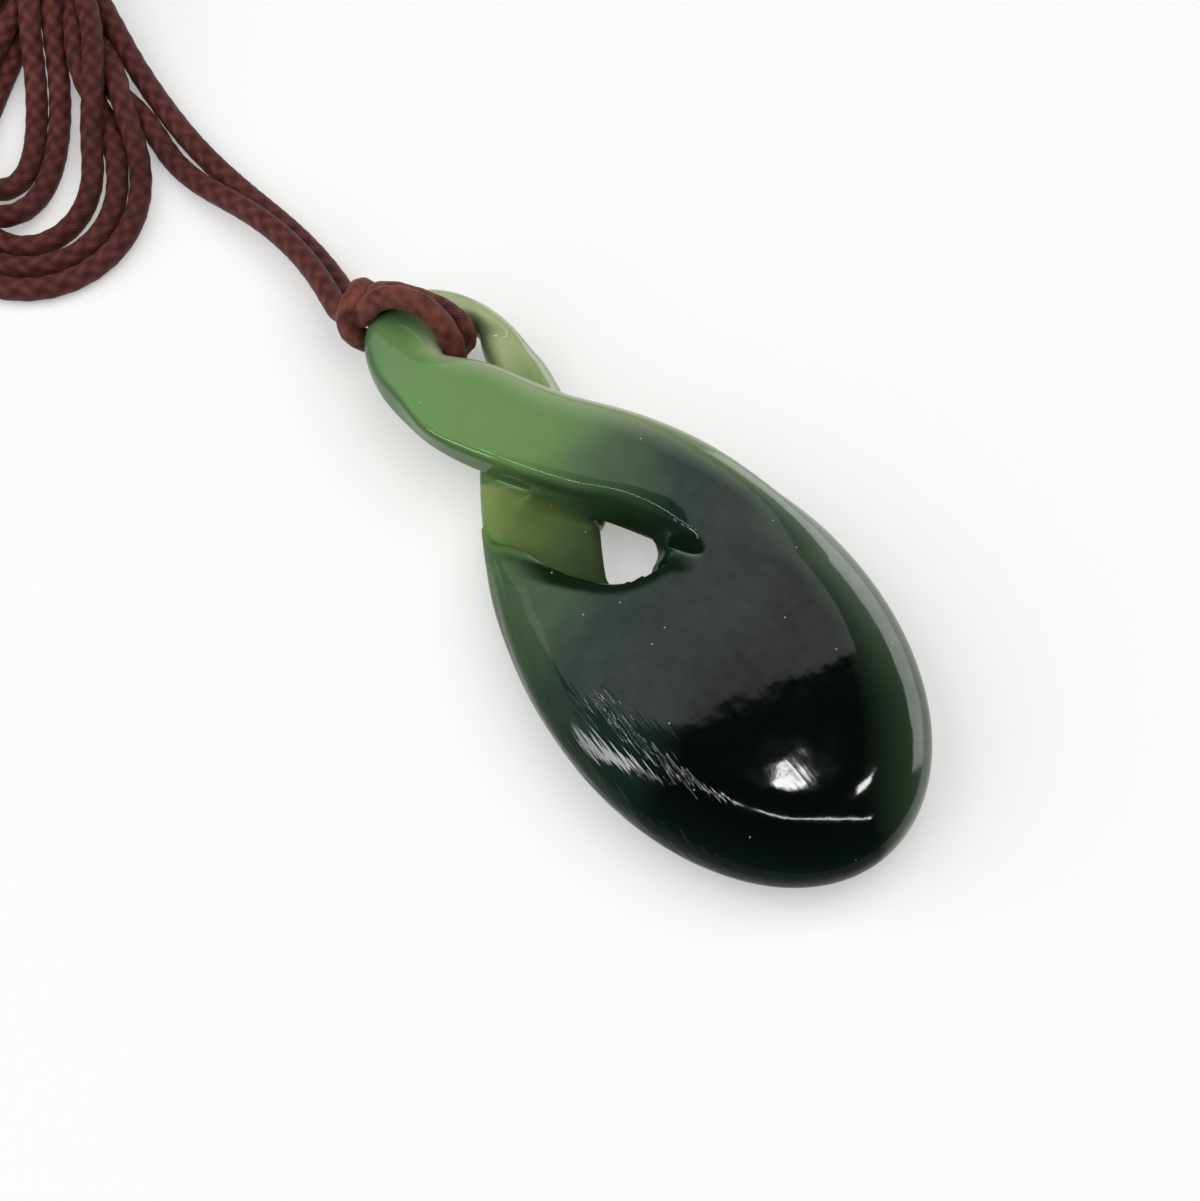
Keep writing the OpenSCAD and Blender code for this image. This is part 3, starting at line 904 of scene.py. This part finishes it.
# A grid of two parameters can't hold a ring that is fused where it crosses. So the solid is one
# function of x, y and z in millimetres, below 0 inside, and its surface is drawn where that is 0.
def stone_field(plan, z):
    """The whole stone: the lobe less what is cut from its two sides and its eye, and the two strands."""
    front, back, (rim, half), sides, eye, x, y = plan
    rounded = rim ** EDGE_POWER + np.abs((z - SLAB_MIDDLE) / half) ** CROWN_POWER
    lobe = (rounded ** (1 / MEAN_POWER) - 1) * FIELD_SCALE
    for (crest, floor, _), height in zip(sides, (z, 2 * SLAB_MIDDLE - z)):
        cut = smooth_max(crest - 0.15 + CREST_LEAN * (CREST_TOP - height), floor - height, SIDE_ROUND)
        lobe = smooth_max(lobe, -cut, SIDE_ROUND)
    lobe = smooth_max(lobe, -eye, EYE_ROUND)
    lobe = np.maximum(lobe, y - LOBE_END)
    behind = smooth_max(strand(back, z), z - strand_slope(x, y) - 0.1, BEHIND_ROUND)
    joint = 0.001 + 0.3 * eased_step((15 - y) / 3)
    stone = smooth_min(strand(front, z), smooth_min(behind, lobe, LOBE_ROUND), joint)
    c, s = np.cos(PIT_TURN), np.sin(PIT_TURN)
    across, along = (x - PIT[0]) * c + (y - PIT[1]) * s, (y - PIT[1]) * c - (x - PIT[0]) * s
    pit = (across / PIT_HALF[0]) ** 2 + (along / PIT_HALF[1]) ** 2 + ((z - PIT[2]) / PIT_HALF[2]) ** 2
    return smooth_max(stone, -(np.sqrt(pit) - 1) * PIT_HALF[0], PIT_ROUND)


CELL = 0.21
PULLS = (0.5, 0.5, 0.5, 0, 0)
LONGEST_SLIDE = 0.5


def net(low, high):
    """A quad mesh round the solid. Each grid cell with both signs at its corners gets one point, the
    mean of the places where its edges cross the surface, and each such edge gets the quad of the
    points in the four cells round it. The points then slide onto the surface along its slope."""
    axes = [np.arange(a, b, CELL) for a, b in zip(low, high)]
    x, y = np.meshgrid(axes[0], axes[1], indexing="ij")
    plan = stone_plan(x[..., None], y[..., None])
    field = stone_field(plan, axes[2][None, None])
    size = np.array(field.shape) - 1
    corners = np.indices((2, 2, 2)).reshape(3, -1).T
    inside = field < 0
    number_inside = sum(inside[tuple(slice(c, c + n) for c, n in zip(corner, size))].astype(np.int8)
                        for corner in corners)
    cells = np.argwhere((number_inside > 0) & (number_inside < 8))
    number = np.full(size, -1)
    number[tuple(cells.T)] = np.arange(len(cells))
    total, count = np.zeros((len(cells), 3)), np.zeros((len(cells), 1))
    faces = []
    for axis in range(3):
        step = np.eye(3, dtype=int)[axis]
        for corner in corners[corners[:, axis] == 0]:
            a, b = field[tuple((cells + corner).T)], field[tuple((cells + corner + step).T)]
            crosses = ((a < 0) != (b < 0))[:, None]
            share = (a / np.where(a == b, 1, a - b))[:, None]
            total += np.where(crosses, corner + share * step, 0)
            count += crosses
        here = np.moveaxis(inside, axis, 0)
        at = np.argwhere(np.moveaxis(here[:-1] != here[1:], 0, axis))
        u, v = np.eye(3, dtype=int)[[(axis + 1) % 3, (axis + 2) % 3]]
        ring = np.stack([number[tuple((at - off).T)] for off in (0 * u, u, u + v, v)], 1)
        outwards = inside[tuple(at.T)]
        faces.append(np.where(outwards[:, None], ring, ring[:, ::-1]))
    faces = np.vstack(faces)
    slopes = np.stack([field, *np.gradient(field)], -1)
    return relaxed(cells + total / count, faces, slopes, corners) * CELL + low, faces


def read(grid, at, corners):
    """The grid's values at each place, weighed from the eight corners of its cell."""
    first = np.floor(at).astype(int)
    part = at - first
    return sum(grid[tuple((first + corner).T)]
               * np.prod(np.where(corner, part, 1 - part), axis=1, keepdims=True) for corner in corners)


def relaxed(points, faces, slopes, corners):
    """Each point is drawn towards the mean of its neighbours and slides back onto the surface."""
    ends = np.concatenate([faces[:, [k, (k + 1) % 4]] for k in range(4)])
    ends = np.vstack([ends, ends[:, ::-1]])
    shared = np.bincount(ends[:, 0], minlength=len(points))[:, None]
    for pull in PULLS:
        total = [np.bincount(ends[:, 0], points[ends[:, 1], k], len(points)) for k in range(3)]
        points = points + pull * (np.stack(total, 1) / shared - points)
        value, slope = np.split(read(slopes, points, corners), [1], axis=1)
        slide = value * slope / (slope ** 2).sum(1, keepdims=True)
        points = points - np.clip(slide, -LONGEST_SLIDE, LONGEST_SLIDE)
    return points


def parts_of_stone(points):
    """For the finish, 0 to 1: how much each point belongs to the strand behind, how deep it lies in the
    cut beside the eye, and how much painted shade it gets, along the lip and on the walls past the eye."""
    x, y, z = points.T
    front, back, _, sides, _, _, _ = stone_plan(x, y)
    crest, _, lip = sides[0]
    recess = eased_step(-crest / 0.5) * eased_step((6.3 - z) / 1.2) * (z > 1.5)
    wide = 0.7 + 3.6 * eased_step((-4.0 - x) / 4)
    behind = eased_step(0.5 + strand(front, z) - strand(back, z))
    behind = np.maximum(behind, recess * eased_step(-x / 1.5)) * eased_step(-lip / wide - 0.1)
    # painted shade along the lip and on the walls of the cut past the eye
    along_lip = eased_step((1.0 - np.abs(lip - 0.1)) / 0.5) * eased_step((x + 9) / 2.5)
    along_lip = along_lip * eased_step((2.4 - x) / 1.5) * eased_step((z - 2.5) / 1.5)
    shade = np.maximum(along_lip, 0.75 * recess * eased_step((x + 1.5) / 2.5))
    return {"behind": behind, "recess": recess, "shade": shade}


# Colours of the front from the foot up, of the strand behind, and of the painted light on faces that turn
# to the right. A WAY is how fast the place in them, 0 to 1, changes per metre across and along the
# pendant.
FRONT_COLOURS = [
    (0.00, (0.0006, 0.002, 0.0014)), (0.06, (0.007, 0.0155, 0.0125)), (0.2, (0.01, 0.023, 0.0165)),
    (0.33, (0.052, 0.104, 0.042)), (0.42, (0.108, 0.222, 0.056)), (0.62, (0.12, 0.252, 0.066)),
    (0.8, (0.108, 0.205, 0.098))]
FRONT_WAY = (-10.0, 18.0)
BEHIND_COLOURS = [
    (0.00, (0.018, 0.032, 0.014)), (0.1, (0.058, 0.082, 0.03)), (0.2, (0.1, 0.14, 0.04)),
    (0.28, (0.2, 0.27, 0.085)), (0.4, (0.4, 0.48, 0.25))]
BEHIND_WAY = (-12.0, 20.0)
# Painted light on faces that turn to the right, from the foot up
RIGHT_LIGHT_COLOURS = [(0.0, (0.035, 0.065, 0.035)), (0.5, (0.15, 0.205, 0.145)), (1.0, (0.36, 0.44, 0.25))]
RING_WAY = (900.0, 400.0)
# Painted shade on steep faces, from the foot to the cord end
STEEP_SHADE_FOOT, STEEP_SHADE_HEAD = (0.006, 0.014, 0.009, 1), (0.036, 0.064, 0.030, 1)
STEEPNESS = [(0.03, (0, 0, 0)), (0.42, (1, 1, 1))]
# Painted shade along the lip and on the walls past the eye
SHADE_COLOUR = (0.003, 0.011, 0.003, 1)
SPECK_COLOUR = (0.45, 0.52, 0.45, 1)
SPECK_SIZE, SPECK_SHARE = 0.055, 0.75


def greenstone_finish():
    """Polished nephrite. Seen from above it goes from light green at the cord end, slantwise, to nearly
    black at the foot. The strand behind is yellower. Steep faces get painted shade and are duller, those
    that turn to the right get painted light, and the lip and the walls past the eye get painted shade.
    There are clouds, fine scratches and a few white specks."""
    s = Shader("greenstone")
    coordinates = s.node("TexCoord")
    place = coordinates.outputs["Object"]
    sideways, _, facing = s.node("SeparateXYZ", {0: coordinates.outputs["Normal"]}).outputs
    x, y, _ = s.node("SeparateXYZ", {0: place}).outputs
    clouds = s.noise(place, scale=130.0, detail=3.0, roughness=0.55)
    grain = s.noise(place, scale=1100.0, detail=4.0, roughness=0.65)
    behind, recess, shade = [s.stored(name) for name in ("behind", "recess", "shade")]
    slant = s.plus(s.weighed(x, y, FRONT_WAY), s.times(s.minus(clouds, 0.5), 0.16))
    front = s.ramp(s.plus(slant, 0.22), FRONT_COLOURS)
    depth = s.plus(s.weighed(x, y, BEHIND_WAY), s.times(s.minus(clouds, 0.5), 0.18))
    yellow = s.ramp(depth, BEHIND_COLOURS)
    ring = s.minus(s.weighed(x, y, RING_WAY), 7.2, clamp=True)
    colour = s.mix(s.math("MAXIMUM", behind, ring), front, yellow)
    steep = s.ramp(s.minus(1.0, s.math("ABSOLUTE", facing)), STEEPNESS)
    # painted shade: steep faces are darkened, less so on the strand behind
    shaded = s.mix(s.times(s.plus(slant, 0.15), 2.5, clamp=True), STEEP_SHADE_FOOT, STEEP_SHADE_HEAD)
    steep_shade_share = s.times(steep, s.minus(0.6, s.times(behind, 0.45)))
    colour = s.mix(steep_shade_share, colour, shaded)
    # painted light: faces that turn to the right are lightened, less so in the cut beside the eye
    lit = s.ramp(s.plus(s.times(y, 35.0), 0.7), RIGHT_LIGHT_COLOURS)
    to_right = s.times(s.minus(sideways, 0.04), 2.5, clamp=True)
    colour = s.mix(s.times(to_right, s.minus(0.9, recess, clamp=True)), colour, lit)
    # painted shade along the lip and on the walls past the eye
    colour = s.mix(shade, colour, SHADE_COLOUR)
    speck = s.node("TexVoronoi", {"Vector": place, "Scale": 800.0, "Randomness": 1.0})
    spot = s.math("LESS_THAN", speck.outputs["Distance"], SPECK_SIZE)
    pick = s.node("SeparateXYZ", {0: speck.outputs["Color"]}).outputs[0]
    rare = s.math("GREATER_THAN", pick, SPECK_SHARE)
    colour = s.mix(s.times(spot, s.times(rare, 0.55)), colour, SPECK_COLOUR)
    rough = s.plus(s.times(grain, 0.07), s.plus(s.times(recess, 0.30), 0.02))
    rough = s.plus(rough, s.times(s.times(steep, to_right), 0.15))
    waves = s.relief(s.noise(place, scale=260.0, detail=2.0), strength=1.0, distance=0.000025)
    drawn = s.node("Mapping", {"Vector": place, "Scale": (2200, 130, 900), "Rotation": (0, 0, 0.25)})
    streaks = s.noise(drawn.outputs[0], scale=1.0, detail=2.0, roughness=0.6)
    at_left = s.minus(s.times(x, -250.0), 1.5, clamp=True)
    above_foot = s.times(s.plus(y, 0.010), 250.0, clamp=True)
    streaky = s.minus(at_left, above_foot, clamp=True)
    polish = s.relief(streaks, s.plus(streaky, 0.02), 0.00012, under=waves)
    pores = s.relief(grain, strength=1.0, distance=0.000002, under=polish)
    dull = s.math("MAXIMUM", s.times(steep, s.minus(1.0, to_right)), s.math("MAXIMUM", recess, shade))
    mirror = s.minus(0.5, s.times(dull, 0.45))
    mottled = s.times(s.plus(clouds, grain), 0.8)
    mirror = s.times(mirror, s.plus(mottled, 0.2))
    return s.finish(Base_Color=colour, Roughness=rough, IOR=1.62, Specular_IOR_Level=mirror, Normal=pores)


STONE_LOW, STONE_HIGH = np.array([-13.2, -28.9, -0.5]), np.array([13.2, 28.4, 7.6])
stone_points, stone_faces = net(STONE_LOW, STONE_HIGH)
stone_points[:, 2] = np.maximum(stone_points[:, 2], 0)
stone = piece("greenstone_twist", stone_points * MM, stone_faces.tolist(), greenstone_finish())
for name, values in parts_of_stone(stone_points).items():
    store(stone, name, values)
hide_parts("twist_stone")
